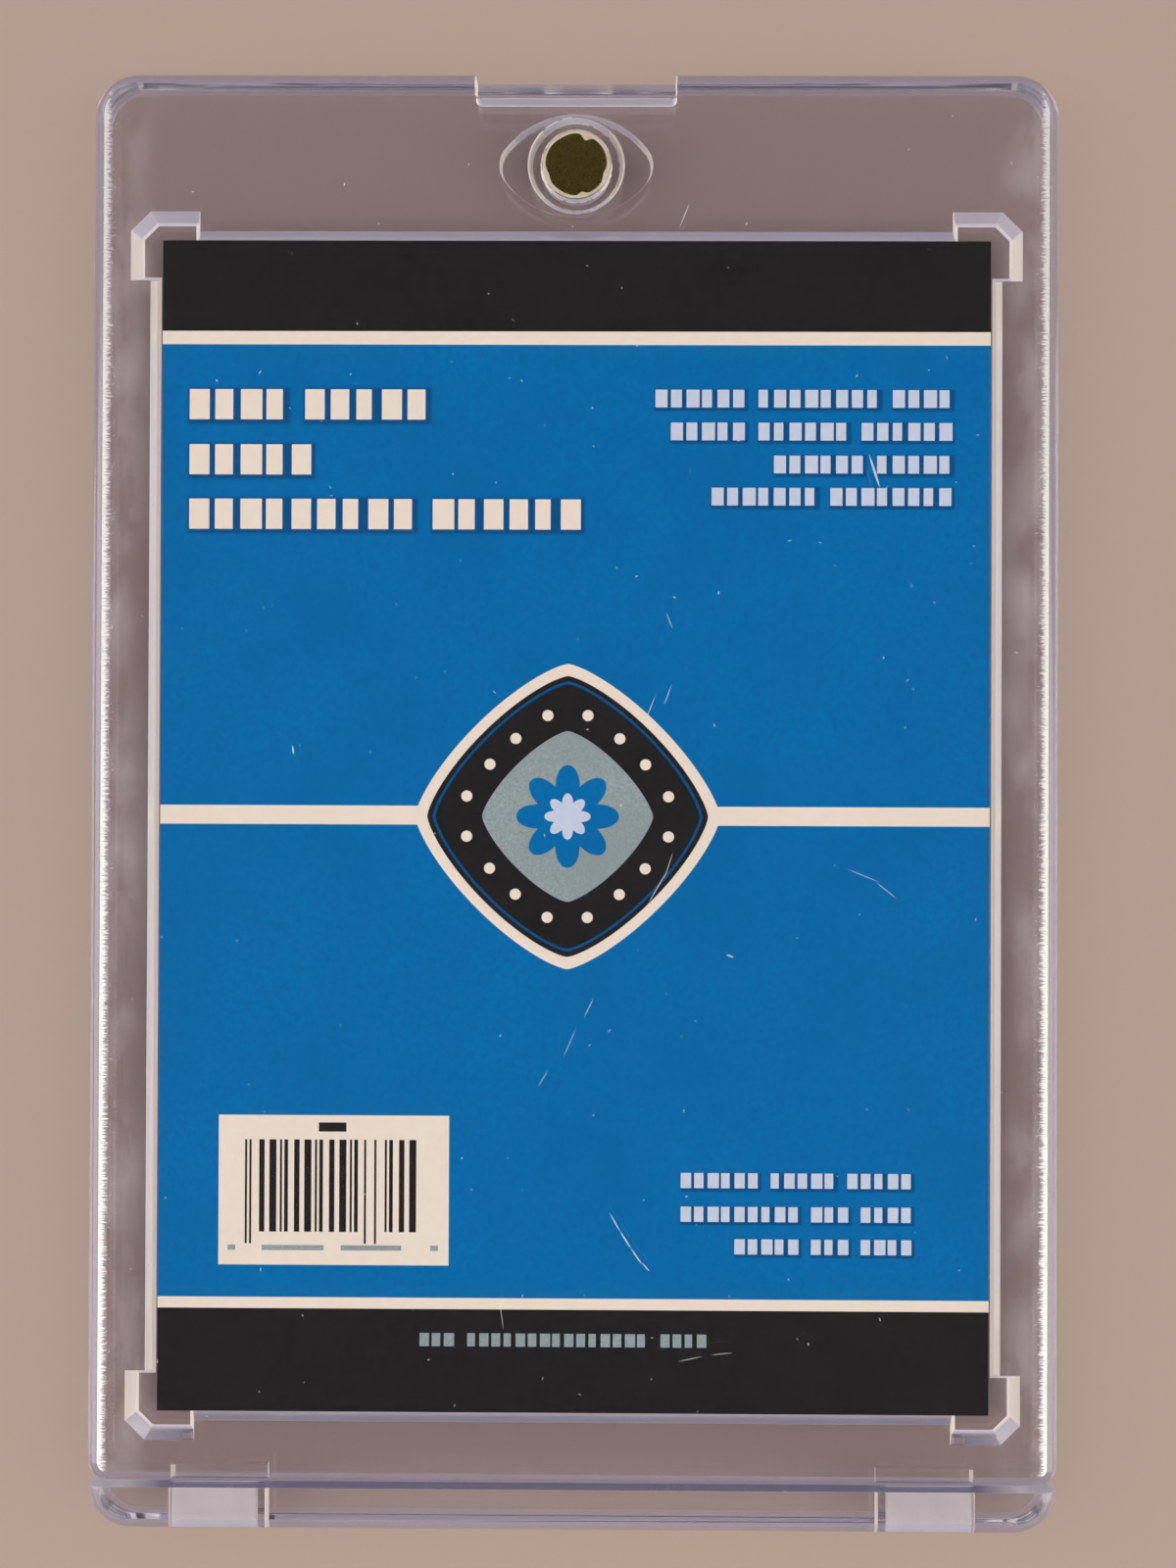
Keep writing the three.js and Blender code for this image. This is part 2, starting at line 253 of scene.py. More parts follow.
def makeClearPlastic(name, look, tint, rubAndHighlight=None):
    material, tree, output = newMaterial(name)
    haze = objectNoise(tree, look["hazeGrain"], 3)
    swell = objectNoise(tree, look["rippleGrain"], 1)
    bump = addBump(tree, swell, look["ripple"], look["rippleDepth"])
    roughness = spread(tree, haze.outputs[0], *look["roughness"])
    glass = addNode(tree, "ShaderNodeBsdfPrincipled", Roughness=roughness, IOR=look["ior"])
    glass.inputs["Base Color"].default_value = tint
    glass.inputs["Transmission Weight"].default_value = 1
    if rubAndHighlight:
        # pale band along the long edges: wear and a painted highlight
        share = rubAndHighlightShare(tree, rubAndHighlight)
        tree.links.new(mixColours(tree, share, tint, rubAndHighlight["tint"]), glass.inputs["Base Color"])
        tree.links.new(spread(tree, share, 1, 1 - rubAndHighlight["opaque"], 0, 1), glass.inputs["Transmission Weight"])
        rough = addNode(tree, "ShaderNodeMix", Factor=share, A=roughness, B=rubAndHighlight["roughness"])
        tree.links.new(rough.outputs[0], glass.inputs["Roughness"])
    tree.links.new(bump, glass.inputs["Normal"])
    shader = letLampsThrough(tree, glass.outputs[0], look["lampPass"])
    tree.links.new(shader, output.inputs["Surface"])
    return material


# the same plastic less clear and recoloured to paint light and shade: painted light on walls that face the
# sides, the tab noses and the outer walls, painted shade on walls that face the ends, on the fillets and
# where lid and base meet
paintedLightLook = {
    # cream painted light on the walls that face the sides
    "sideWallsPaintedLight": {"tint": (1.0, 0.93, 0.83, 1), "clear": 0.12, "roughness": 0.40, "grain": 160},
    # lavender painted shade on the fillets
    "filletsPaintedShade": {"tint": (0.66, 0.64, 0.82, 1), "clear": 0.86, "roughness": 0.12, "grain": 400},
    # pale lavender painted shade on the walls that face the ends
    "endWallsPaintedShade": {"tint": (0.88, 0.86, 0.95, 1), "clear": 0.35, "roughness": 0.36, "grain": 160},
    # dark painted shade where lid and base meet, paling to a painted highlight at the corners
    "meetingWallsPaintedShade": {
        "tint": (0.24, 0.24, 0.38, 1), "clear": 0.4, "roughness": 0.25, "grain": 300,
        "cornerPaintedHighlight": (0.80, 0.79, 0.90, 1),   # the paler painted highlight they turn to towards the corners
        "cornerFrom": (30.5 * mm, 33.5 * mm),
    },
    # warm painted light on the tab noses
    "tabNosesPaintedLight": {"tint": (0.98, 0.86, 0.68, 1), "clear": 0.3, "roughness": 0.5, "grain": 500},
    # whitish painted light on the outer walls and corners
    "outerWallsPaintedLight": {"tint": (0.97, 0.96, 1.0, 1), "clear": 0.72, "roughness": 0.16, "grain": 300},
}
paintedLightVaries = 0.15   # share by which their roughness goes up and down


def makePaintedLightPlastic(name, look):
    # the tint paints light or shade on the faces given this plastic
    material, tree, output = newMaterial(name)
    cloud = objectNoise(tree, look["grain"], 2)
    least, most = look["roughness"] * (1 - paintedLightVaries), look["roughness"] * (1 + paintedLightVaries)
    roughness = spread(tree, cloud.outputs[0], least, most)
    body = addNode(tree, "ShaderNodeBsdfPrincipled", Roughness=roughness, IOR=plasticLook["ior"])
    body.inputs["Base Color"].default_value = look["tint"]
    # painted shade paling to a painted highlight towards the corners
    if "cornerPaintedHighlight" in look:
        outward = mathNode(tree, "ABSOLUTE", objectParts(tree).outputs["X"])
        share = spread(tree, outward, 0, 1, *look["cornerFrom"])
        tree.links.new(mixColours(tree, share, look["tint"], look["cornerPaintedHighlight"]), body.inputs["Base Color"])
    body.inputs["Transmission Weight"].default_value = look["clear"]
    shader = letLampsThrough(tree, body.outputs[0], plasticLook["lampPass"])
    tree.links.new(shader, output.inputs["Surface"])
    return material


frostLook = {
    "tint": (0.83, 0.775, 0.725, 1),
    "cloudTint": (0.73, 0.685, 0.645, 1),
    "cloudGrain": 500,
    "clear": 0.32,
    "roughness": 0.5,
    "ior": 1.5,
    "grain": 2600,
    "bump": 0.25,
    "bumpDepth": 0.1 * mm,
}


def makeFrostedPlastic(look):
    material, tree, output = newMaterial("frostedPlastic")
    grain = objectNoise(tree, look["grain"], 2)
    cloud = objectNoise(tree, look["cloudGrain"], 2)
    colour = mixColours(tree, spread(tree, cloud.outputs[0], 0, 1), look["tint"], look["cloudTint"])
    bump = addBump(tree, grain, look["bump"], look["bumpDepth"])
    body = addNode(tree, "ShaderNodeBsdfPrincipled", Roughness=look["roughness"], Base_Color=colour)
    body.inputs["IOR"].default_value = look["ior"]
    body.inputs["Transmission Weight"].default_value = look["clear"]
    tree.links.new(bump, body.inputs["Normal"])
    tree.links.new(body.outputs[0], output.inputs["Surface"])
    return material


magnetLook = {
    "gold": toLinear(146, 128, 62),
    "dark": toLinear(96, 82, 38),
    "roughness": (0.22, 0.36),
    "speckle": 3600,
    "pits": 4200,
    "bump": 0.12,
    "bumpDepth": 0.05 * mm,
}


def makeMagnetMetal(look):
    material, tree, output = newMaterial("magnetGold")
    cloud = objectNoise(tree, look["speckle"], 4)
    pits = objectNoise(tree, look["pits"], 2)
    colour = mixColours(tree, spread(tree, cloud.outputs[0], 0, 1), look["gold"], look["dark"])
    bump = addBump(tree, pits, look["bump"], look["bumpDepth"])
    roughness = spread(tree, cloud.outputs[0], *look["roughness"])
    metal = addNode(tree, "ShaderNodeBsdfPrincipled", Base_Color=colour, Metallic=1.0, Roughness=roughness)
    tree.links.new(bump, metal.inputs["Normal"])
    tree.links.new(metal.outputs[0], output.inputs["Surface"])
    return material


glueLook = {
    "tint": toLinear(255, 251, 236),
    "thick": toLinear(248, 230, 176),
    "clear": 0.45,
    "roughness": 0.25,
    "ior": 1.48,
    "grain": 1800,
    "bump": 0.4,
    "bumpDepth": 0.1 * mm,
}


def makeGlue(look):
    material, tree, output = newMaterial("setGlue")
    cloud = objectNoise(tree, look["grain"], 3)
    colour = mixColours(tree, spread(tree, cloud.outputs[0], 0, 1), look["tint"], look["thick"])
    bump = addBump(tree, cloud, look["bump"], look["bumpDepth"])
    body = addNode(tree, "ShaderNodeBsdfPrincipled", Base_Color=colour, Roughness=look["roughness"])
    body.inputs["IOR"].default_value = look["ior"]
    body.inputs["Transmission Weight"].default_value = look["clear"]
    tree.links.new(bump, body.inputs["Normal"])
    tree.links.new(body.outputs[0], output.inputs["Surface"])
    return material


inkLook = {
    "blue": {"main": toLinear(0, 120, 184), "other": toLinear(0, 107, 168), "grain": 2500},
    "black": {"main": toLinear(26, 26, 25), "other": toLinear(36, 35, 34), "grain": 1800},
    "cream": {"main": toLinear(250, 240, 220), "other": toLinear(244, 232, 210), "grain": 1500},
    "grey": {"main": toLinear(168, 184, 180), "other": toLinear(140, 156, 154), "grain": 5200},
    "pale": {"main": toLinear(214, 226, 236), "other": toLinear(202, 216, 230), "grain": 1500},
    "shade": {"main": toLinear(2, 80, 132), "other": toLinear(2, 86, 140), "grain": 2500},
    "halo": {"main": toLinear(1, 97, 157), "other": toLinear(1, 99, 160), "grain": 2500},
    "paper": {"main": toLinear(236, 234, 230), "other": toLinear(226, 224, 220), "grain": 900},
}

# what all inks share
printLook = {
    "cloudGrain": 130,
    "cloudShare": 0.7,
    "roughness": (0.42, 0.55),
    "ior": 1.45,
    "shine": 0.08,
    "bump": 0.06,
    "bumpDepth": 0.05 * mm,
}


def makeInk(name, look):
    material, tree, output = newMaterial("ink" + name.capitalize())
    fibre = objectNoise(tree, look["grain"], 3)
    cloud = objectNoise(tree, printLook["cloudGrain"], 3)
    colour = mixColours(tree, spread(tree, fibre.outputs[0], 0, 1), look["main"], look["other"])
    cloudy = spread(tree, cloud.outputs[0], 0, printLook["cloudShare"])
    colour = mixColours(tree, cloudy, colour, look["other"])
    bump = addBump(tree, fibre, printLook["bump"], printLook["bumpDepth"])
    ink = addNode(tree, "ShaderNodeBsdfPrincipled", Base_Color=colour, IOR=printLook["ior"])
    ink.inputs["Specular IOR Level"].default_value = printLook["shine"]
    tree.links.new(spread(tree, fibre.outputs[0], *printLook["roughness"]), ink.inputs["Roughness"])
    tree.links.new(bump, ink.inputs["Normal"])
    tree.links.new(ink.outputs[0], output.inputs["Surface"])
    return material


scuffLook = {
    "white": (0.95, 0.93, 0.9, 1),
    "dull": (0.7, 0.72, 0.78, 1),
    "grain": 2600,
    "roughness": 0.5,
    "clear": 0.3,
}


def makeScuffWhite(look):
    material, tree, output = newMaterial("scuffWhite")
    cloud = objectNoise(tree, look["grain"], 2)
    colour = mixColours(tree, spread(tree, cloud.outputs[0], 0, 1), look["white"], look["dull"])
    body = addNode(tree, "ShaderNodeBsdfPrincipled", Base_Color=colour, Roughness=look["roughness"])
    body.inputs["IOR"].default_value = plasticLook["ior"]
    body.inputs["Transmission Weight"].default_value = look["clear"]
    tree.links.new(body.outputs[0], output.inputs["Surface"])
    return material


lidPlastic = makeClearPlastic("lidPlastic", plasticLook, plasticLook["lidTint"], rubAndHighlightLook)
basePlastic = makeClearPlastic("basePlastic", plasticLook, plasticLook["baseTint"])
frostedPlastic = makeFrostedPlastic(frostLook)
paintedLightPlastics = {name: makePaintedLightPlastic(name, look) for name, look in paintedLightLook.items()}
magnetGold = makeMagnetMetal(magnetLook)
setGlue = makeGlue(glueLook)
inks = {name: makeInk(name, look) for name, look in inkLook.items()}
inkOrder = list(inks)
scuffWhite = makeScuffWhite(scuffLook)
print("materials made")


# mesh helpers

def showMesh(name, vertices, faces, materials, slots=None, smooth=True):
    mesh = bpy.data.meshes.new(name)
    mesh.from_pydata(np.asarray(vertices, float).tolist(), [], faces)
    for material in materials:
        mesh.materials.append(material)
    if slots is not None:
        mesh.polygons.foreach_set("material_index", np.asarray(slots, np.int32))
    mesh.polygons.foreach_set("use_smooth", np.full(len(mesh.polygons), smooth))
    mesh.update()
    piece = bpy.data.objects.new(name, mesh)
    bpy.context.scene.collection.objects.link(piece)
    return piece


def gridFaces(rows, columns, wrapRows=False, wrapColumns=False):
    # quads between neighbouring points of a rows by columns grid, as whole index arrays
    r = np.arange(rows if wrapRows else rows - 1)
    c = np.arange(columns if wrapColumns else columns - 1)
    r, c = [a.ravel() for a in np.meshgrid(r, c, indexing="ij")]
    down, across = (r + 1) % rows, (c + 1) % columns
    above, below = r * columns, down * columns
    return np.stack([above + c, below + c, below + across, above + across], 1)


def faceOutwards(piece, weld=1e-8):
    work = bmesh.new()
    work.from_mesh(piece.data)
    bmesh.ops.remove_doubles(work, verts=work.verts, dist=weld)
    bmesh.ops.recalc_face_normals(work, faces=work.faces)
    work.to_mesh(piece.data)
    work.free()
    piece.data.update()


# the two clear mouldings

shellEdges = {
    "weld": 1e-6,
    "flatAngle": math.radians(0.4),
    "edgeRadius": 0.13 * mm,
    "edgeSteps": 3,
    "edgeAngle": math.radians(28),
}

# how far from the moulding's long sides and ends each finish reaches
finishZones = {
    "wellFromSide": 1.4 * mm,     # walls of the well and the eye lie further in than this
    "wellFromEnd": 1.7 * mm,
    "behindTabs": 3 * mm,         # from the lid's end, the stretch whose walls stay clear
    "outerWall": 0.4 * mm,
    "corner": 2.5 * mm,
    "sideFillet": 1.3 * mm,
    "meeting": 0.7 * mm,          # each way from the lid's end
    "barInside": 1 * mm,
    "tabStart": 0.05 * mm,        # past the lid's end
    # shares of a face's normal that point along Z: 0 on an upright wall, 1 on a level face
    "upright": 0.2,
    "notLevel": 0.99,
    "sideFilletLean": (0.2, 0.96),
    "endFilletLean": (0.1, 0.97),
    "meetingLean": 0.6,
    # shares that point along Y
    "towardsMagnet": 0.5,
    "towardsFoot": -0.3,
}
finishes = {"clear": None, "frosted": frostedPlastic, **paintedLightPlastics}
slotOf = {name: place for place, name in enumerate(finishes)}


def finishOf(centres, normals, high, foot, tabsEnd):
    # slot of each face by where it lies and which way it looks, later rules over earlier ones; apart from
    # the clear plastic and the frosted tabs, each slot paints light or shade
    z = finishZones
    x, y = np.abs(centres[:, 0]), centres[:, 1]
    lean = np.abs(normals[:, 2])
    fromSide = high.x - x
    fromEnd = np.minimum(high.y - y, y - foot)
    sideways = np.abs(normals[:, 0]) > np.abs(normals[:, 1])
    upright = lean < z["upright"]
    inner = (lean < z["notLevel"]) & (fromSide > z["wellFromSide"])
    deep = fromEnd > z["wellFromEnd"]
    behindTab = y < lidEnd + z["behindTabs"]
    atCorner = (fromSide < z["corner"]) & (fromEnd < z["corner"])
    outer = (fromSide < z["outerWall"]) | (fromEnd < z["outerWall"]) | atCorner
    least, most = z["sideFilletLean"]
    sideFillet = (lean > least) & (lean < most) & (fromSide < z["sideFillet"]) & sideways
    least, most = z["endFilletLean"]
    endFillet = (lean > least) & (lean < most) & ~deep & ~sideways
    meeting = (lean < z["meetingLean"]) & (np.abs(y - lidEnd) < z["meeting"]) & ~sideways
    inBar = (y < lidEnd - z["barInside"]) & (normals[:, 1] > z["towardsMagnet"])
    slots = np.zeros(len(centres), np.int32)
    # walls facing the ends get painted shade and walls facing the sides painted light
    slots[inner & deep & ~sideways & ~behindTab] = slotOf["endWallsPaintedShade"]
    slots[inner & (deep | upright) & sideways] = slotOf["sideWallsPaintedLight"]
    # outer walls and corners get painted light
    slots[upright & outer] = slotOf["outerWallsPaintedLight"]
    # fillets get painted shade
    slots[sideFillet | endFillet] = slotOf["filletsPaintedShade"]
    # painted shade where the lid meets the base
    slots[meeting] = slotOf["meetingWallsPaintedShade"]
    # the bar's inner walls get the same painted shade
    slots[upright & inBar] = slotOf["endWallsPaintedShade"]
    if tabsEnd is not None:
        # tab noses get painted light
        nose = (normals[:, 1] < z["towardsFoot"]) & (lean < most)
        slots[y < tabsEnd] = slotOf["frosted"]
        slots[(y < tabsEnd) & nose] = slotOf["tabNosesPaintedLight"]
    return slots


def makeShell(name, node, plastic, tabsEnd=None):
    # welded copy of the moulding with its coplanar triangles joined and its sharp edges eased
    work = bmesh.new()
    work.from_mesh(frame["nodes"][node].data)
    bmesh.ops.remove_doubles(work, verts=work.verts, dist=shellEdges["weld"])
    bmesh.ops.dissolve_limit(
        work, angle_limit=shellEdges["flatAngle"], verts=work.verts, edges=work.edges, delimit={"NORMAL"},
    )
    mesh = bpy.data.meshes.new(name)
    work.to_mesh(mesh)
    work.free()
    for material in [plastic] + list(finishes.values())[1:]:
        mesh.materials.append(material)
    centres = np.empty(len(mesh.polygons) * 3)
    mesh.polygons.foreach_get("center", centres)
    normals = np.empty(len(mesh.polygons) * 3)
    mesh.polygons.foreach_get("normal", normals)
    low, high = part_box(node)
    foot = low.y if tabsEnd is None else tabsEnd
    slots = finishOf(centres.reshape(-1, 3), normals.reshape(-1, 3), high, foot, tabsEnd)
    mesh.polygons.foreach_set("material_index", slots)
    print(name, "faces by finish", np.bincount(slots))
    mesh.polygons.foreach_set("use_smooth", np.full(len(mesh.polygons), True))
    mesh.update()
    piece = bpy.data.objects.new(name, mesh)
    bpy.context.scene.collection.objects.link(piece)
    ease = piece.modifiers.new("easedEdges", "BEVEL")
    ease.width = shellEdges["edgeRadius"]
    ease.segments = shellEdges["edgeSteps"]
    ease.limit_method = "ANGLE"
    ease.angle_limit = shellEdges["edgeAngle"]
    ease.use_clamp_overlap = True
    level = piece.modifiers.new("flatFaces", "WEIGHTED_NORMAL")
    level.mode = "FACE_AREA"
    level.weight = 100
    return piece


lidShell = makeShell("lidShell", "lid", lidPlastic, lidEnd - finishZones["tabStart"])
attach(lidShell, "lid")
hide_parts("lid")
baseShell = makeShell("baseShell", "base", basePlastic)
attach(baseShell, "base")
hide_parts("base")
print("mouldings made")


# magnets: a profile of radius and height turned round the magnet's axis

magnetForm = {"chamfer": 0.2 * mm, "edge": 0.06 * mm, "steps": 96}


def turnProfile(name, profile, centre, steps, materials):
    # x = radius cos angle and y = radius sin angle at each profile point, with a pole at either end
    angles = np.linspace(0, 2 * np.pi, steps, endpoint=False)
    radius, height = np.array(profile[1:-1]).T
    rings = np.stack([
        centre.x + radius[:, None] * np.cos(angles),
        centre.y + radius[:, None] * np.sin(angles),
        np.repeat(height[:, None], steps, 1),
    ], 2).reshape(-1, 3)
    poles = [[centre.x, centre.y, profile[0][1]], [centre.x, centre.y, profile[-1][1]]]
    vertices = np.concatenate([rings, poles])
    quads = gridFaces(len(radius), steps, wrapColumns=True)
    first = np.arange(steps)
    last = first + (len(radius) - 1) * steps
    low = np.stack([np.full(steps, len(rings)), first, (first + 1) % steps], 1)
    high = np.stack([np.full(steps, len(rings) + 1), last, (first + 1) % steps + last[0]], 1)
    piece = showMesh(name, vertices, quads.tolist() + low.tolist() + high.tolist(), materials)
    faceOutwards(piece)
    return piece


def makeMagnet(name, node, body):
    low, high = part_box(node)
    radius = (high.x - low.x) / 2
    chamfer, edge = magnetForm["chamfer"], magnetForm["edge"]
    middle = (low + high) / 2
    profile = [(0, low.z), (radius - chamfer - edge, low.z), (radius - chamfer, low.z)]
    profile += [(radius, low.z + chamfer), (radius, low.z + chamfer + edge)]
    profile += [(radius, high.z - chamfer - edge), (radius, high.z - chamfer)]
    profile += [(radius - chamfer, high.z), (radius - chamfer - edge, high.z), (0, high.z)]
    magnet = turnProfile(name, profile, middle, magnetForm["steps"], [magnetGold])
    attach(magnet, body)
    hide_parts(node)


makeMagnet("lidMagnetDisc", "lid_magnet", "lid")
makeMagnet("baseMagnetDisc", "base_magnet", "base")
print("magnets made")


# glue squeezed out round each magnet: a flat ring whose inner edge swells into blobs

glueForm = {
    "outer": 2.56 * mm,
    "inner": 2.34 * mm,
    "steps": 180,
    "section": 14,
    "squareness": 0.6,
    "fill": 0.9,              # share of the glue node's thickness that the ring has
    "baseTurn": 2.1,          # the base's ring is turned, so that the two don't repeat
    "blobs": [   # angle in degrees, how far it runs in over the magnet, half width in degrees
        (70, 0.42 * mm, 9),
        (282, 0.24 * mm, 8),
        (200, 0.16 * mm, 14),
        (342, 0.18 * mm, 13),
        (120, 0.05 * mm, 14),
        (238, 0.05 * mm, 18),
    ],
}


def makeGlueRing(name, node, body, form, turn=0.0):
    # round the ring the inner radius dips by a bell for each blob, and the section is a flat rounded oval
    low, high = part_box(node)
    centre = (low + high) / 2
    angles = np.linspace(0, 2 * np.pi, form["steps"], endpoint=False)
    inner = np.full(form["steps"], form["inner"])
    for place, reach, halfWidth in form["blobs"]:
        away = (angles - math.radians(place) + turn + np.pi) % (2 * np.pi) - np.pi
        inner = inner - reach * np.exp(-(away / math.radians(halfWidth)) ** 2)
    around = np.linspace(0, 2 * np.pi, form["section"], endpoint=False)
    cosine = np.sign(np.cos(around)) * np.abs(np.cos(around)) ** form["squareness"]
    sine = np.sign(np.sin(around)) * np.abs(np.sin(around)) ** form["squareness"]
    radius = (form["outer"] + inner)[:, None] / 2 + (form["outer"] - inner)[:, None] / 2 * cosine
    points = np.stack([
        centre.x + radius * np.cos(angles)[:, None],
        centre.y + radius * np.sin(angles)[:, None],
        centre.z + (high.z - low.z) / 2 * form["fill"] * sine * np.ones((form["steps"], 1)),
    ], 2)
    faces = gridFaces(form["steps"], form["section"], True, True).tolist()
    ring = showMesh(name, points.reshape(-1, 3), faces, [setGlue])
    faceOutwards(ring)
    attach(ring, body)
    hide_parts(node)


makeGlueRing("lidGlueRing", "lid_glue", "lid", glueForm)
makeGlueRing("baseGlueRing", "base_glue", "base", glueForm, glueForm["baseTurn"])
print("glue made")


# printed insert: every field is a rectangle on the card, and the sheet is cut along all their edges

cardPrint = {
    "upperRule": (37.08, 1.02),     # centre height above the card's middle, and width
    "middleRule": (0.76, 1.44),
    "lowerRule": (-36.27, 0.85),
    "panel": (-26.9, -9.4, -33.4, -22.05),       # left, right, low, high
    "panelMark": (-19.3, -17.2, -23.3, -22.6),
    "bars": (-24.9, -11.7, -30.9, -23.9),
    "barStep": 0.165,
    "barGrows": 0.75,               # by how many steps the next wider bar and gap grow
    "gapGrows": 0.6,
    "longBars": (0, 1, 14, 15, 28, 29),
    "longDrop": 0.9,
    "dashes": [(-26.2, -25.6), (-23.6, -18.9), (-17.6, -13.0), (-10.8, -10.2)],   # left, right
    "dashHeight": (-32.3, -31.9),
}


def printFields(halfWidth, halfHeight):
    # (ink, left, right, low, high) in millimetres from the card's middle, later ones on top
    p = cardPrint
    upper, middle, lower = p["upperRule"], p["middleRule"], p["lowerRule"]
    fields = [("blue", -halfWidth, halfWidth, -halfHeight, halfHeight)]
    fields.append(("black", -halfWidth, halfWidth, upper[0], halfHeight))
    fields.append(("black", -halfWidth, halfWidth, -halfHeight, lower[0]))
    for centre, width in (upper, middle, lower):
        fields.append(("cream", -halfWidth, halfWidth, centre - width / 2, centre + width / 2))
    fields.append(("cream", *p["panel"]))
    fields.append(("black", *p["panelMark"]))
    return fields + barFields(p)


def barFields(p):
    # evenly drawn bars of four widths in a fixed rhythm, with three longer pairs, and dashes below them
    left, right, low, high = p["bars"]
    step = p["barStep"]
    fields = []
    place, count = left, 0
    while place < right:
        width = step * (1 + (count * 5) % 4 * p["barGrows"])
        longBar = count in p["longBars"]
        foot = low - (p["longDrop"] if longBar else 0)
        fields.append(("black", place, place + (step if longBar else width), foot, high))
        place += width + step * (1 + (count * 3) % 4 * p["gapGrows"])
        count += 1
    return fields + [("grey", *dash, *p["dashHeight"]) for dash in p["dashes"]]


def makeInsert():
    low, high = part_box("insert_card")
    centre = (low + high) / 2
    halfWidth, halfHeight = (high.x - low.x) / 2 / mm, (high.y - low.y) / 2 / mm
    fields = printFields(halfWidth, halfHeight)
    across = np.unique(np.round([v for f in fields for v in f[1:3]], 5))
    up = np.unique(np.round([v for f in fields for v in f[3:5]], 5))
    middleX, middleY = (across[1:] + across[:-1]) / 2, (up[1:] + up[:-1]) / 2
    slots = np.zeros((len(middleY), len(middleX)), int)
    for ink, left, right, bottom, top in fields:
        inside = ((middleY > bottom) & (middleY < top))[:, None] & ((middleX > left) & (middleX < right))
        slots[inside] = inkOrder.index(ink)
    gridX, gridY = np.meshgrid(across, up)
    points = np.stack([centre.x + gridX * mm, centre.y + gridY * mm, np.full(gridX.shape, high.z)], 2)
    faces = gridFaces(len(up), len(across))[:, ::-1]
    materials = [inks[name] for name in inkOrder]
    sheet = showMesh("insertSheet", points.reshape(-1, 3), faces.tolist(), materials, slots.ravel(), False)
    back = sheet.modifiers.new("cardThickness", "SOLIDIFY")
    back.thickness = high.z - low.z
    back.offset = -1
    back.material_offset = len(materials)       # held at the last one, the bare paper
    back.material_offset_rim = len(materials)
    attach(sheet, "base")
    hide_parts("insert_card")
    return centre, high.z


cardCentre, cardFace = makeInsert()
print("insert printed")


# rows of plain blocks where the card has its lines of words, each on a soft dark edge

blockRows = {
    # ink, block height, mean step from block to block, gap between words, width of the dark edge
    "styles": {
        "title": ("cream", 2.3, 1.95, 1.0, 0.30),
        "note": ("pale", 1.35, 1.18, 0.75, 0.20),
        "low": ("pale", 1.15, 1.02, 0.70, 0.16),
        "foot": ("grey", 1.0, 0.92, 0.85, 0.0),
    },
    # style, margin, side that the margin is on (-1 left, 0 middle, 1 right), height, blocks in each word
    "rows": [
        ("title", -29.4, -1, 32.0, [4, 5]),
        ("title", -29.4, -1, 27.8, [5]),
        ("title", -29.4, -1, 23.65, [9, 6]),
        ("note", 28.8, 1, 32.5, [6, 8, 4]),
        ("note", 28.8, 1, 30.0, [5, 6, 6]),
        ("note", 28.8, 1, 27.5, [6, 5]),
        ("note", 28.8, 1, 25.05, [7, 8]),
        ("low", 25.9, 1, -26.85, [6, 5, 5]),
        ("low", 25.9, 1, -29.4, [9, 3, 4]),
        ("low", 25.9, 1, -31.85, [5, 3, 4]),
        ("foot", -0.6, 0, -39.0, [3, 15, 4]),
    ],
    "fill": (0.78, 0.70, 0.84, 0.64, 0.76, 0.72, 0.60),   # share of the step that a block fills, in turn
    "lastFill": 0.75,           # the same for a word's last block, as its dark edge counts it
    "edges": [("halo", 1, 1.0), ("shade", 2, 0.5)],       # ink, level, share of the dark edge's width
    "blockLevel": 3,
    "drop": 0.12,               # how far the dark edge is shifted down and right
    "lift": 0.010 * mm,         # from level to level
    "inkShare": 0.6,            # the ink's thickness as a share of the lift
}


def blockBoxes(rows):
    # left, right, low, high, ink and level of each block and of its word's two dark edges, in millimetres
    boxes = []
    drop = rows["drop"]
    fill = rows["fill"]
    for style, margin, side, height, words in rows["rows"]:
        ink, tall, step, wordGap, edge = rows["styles"][style]
        width = sum(words) * step + (len(words) - 1) * wordGap
        start = margin - width * (side + 1) / 2
        low, high = height - tall / 2, height + tall / 2
        count = 0
        for word in words:
            end = start + (word - 1) * step
            for dark, level, share in rows["edges"] if edge else []:
                grow = edge * share
                left, right = start - grow + drop, end + rows["lastFill"] * step + grow + drop
                boxes.append((left, right, low - grow - drop, high + grow - drop, dark, level))
            for i in range(word):
                left = start + i * step
                right = left + fill[count % len(fill)] * step
                boxes.append((left, right, low, high, ink, rows["blockLevel"]))
                count += 1
            start = end + step + wordGap
    return boxes


def makeBlockRows(rows):
    # the four corners of each box at its level above the card, thickened into a film of ink
    centre = cardCentre
    vertices, faces, slots = [], [], []
    corner = np.array([(0, 0), (1, 0), (1, 1), (0, 1)])
    for n, (left, right, low, high, ink, level) in enumerate(blockBoxes(rows)):
        x = centre.x + np.where(corner[:, 0], right, left) * mm
        y = centre.y + np.where(corner[:, 1], high, low) * mm
        vertices.append(np.column_stack([x, y, np.full(4, cardFace + rows["lift"] * level)]))
        faces.append(np.arange(4) + 4 * n)
        slots.append(inkOrder.index(ink))
    materials = [inks[name] for name in inkOrder]
    points, quads = np.concatenate(vertices), np.array(faces).tolist()
    blocks = showMesh("insertBlocks", points, quads, materials, slots, False)
    thickness = blocks.modifiers.new("inkThickness", "SOLIDIFY")
    thickness.thickness = rows["lift"] * rows["inkShare"]
    thickness.offset = -1
    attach(blocks, "base")


makeBlockRows(blockRows)
print("block rows printed")


# badge in the middle of the insert: nested lozenges with softened corners and a plain rosette

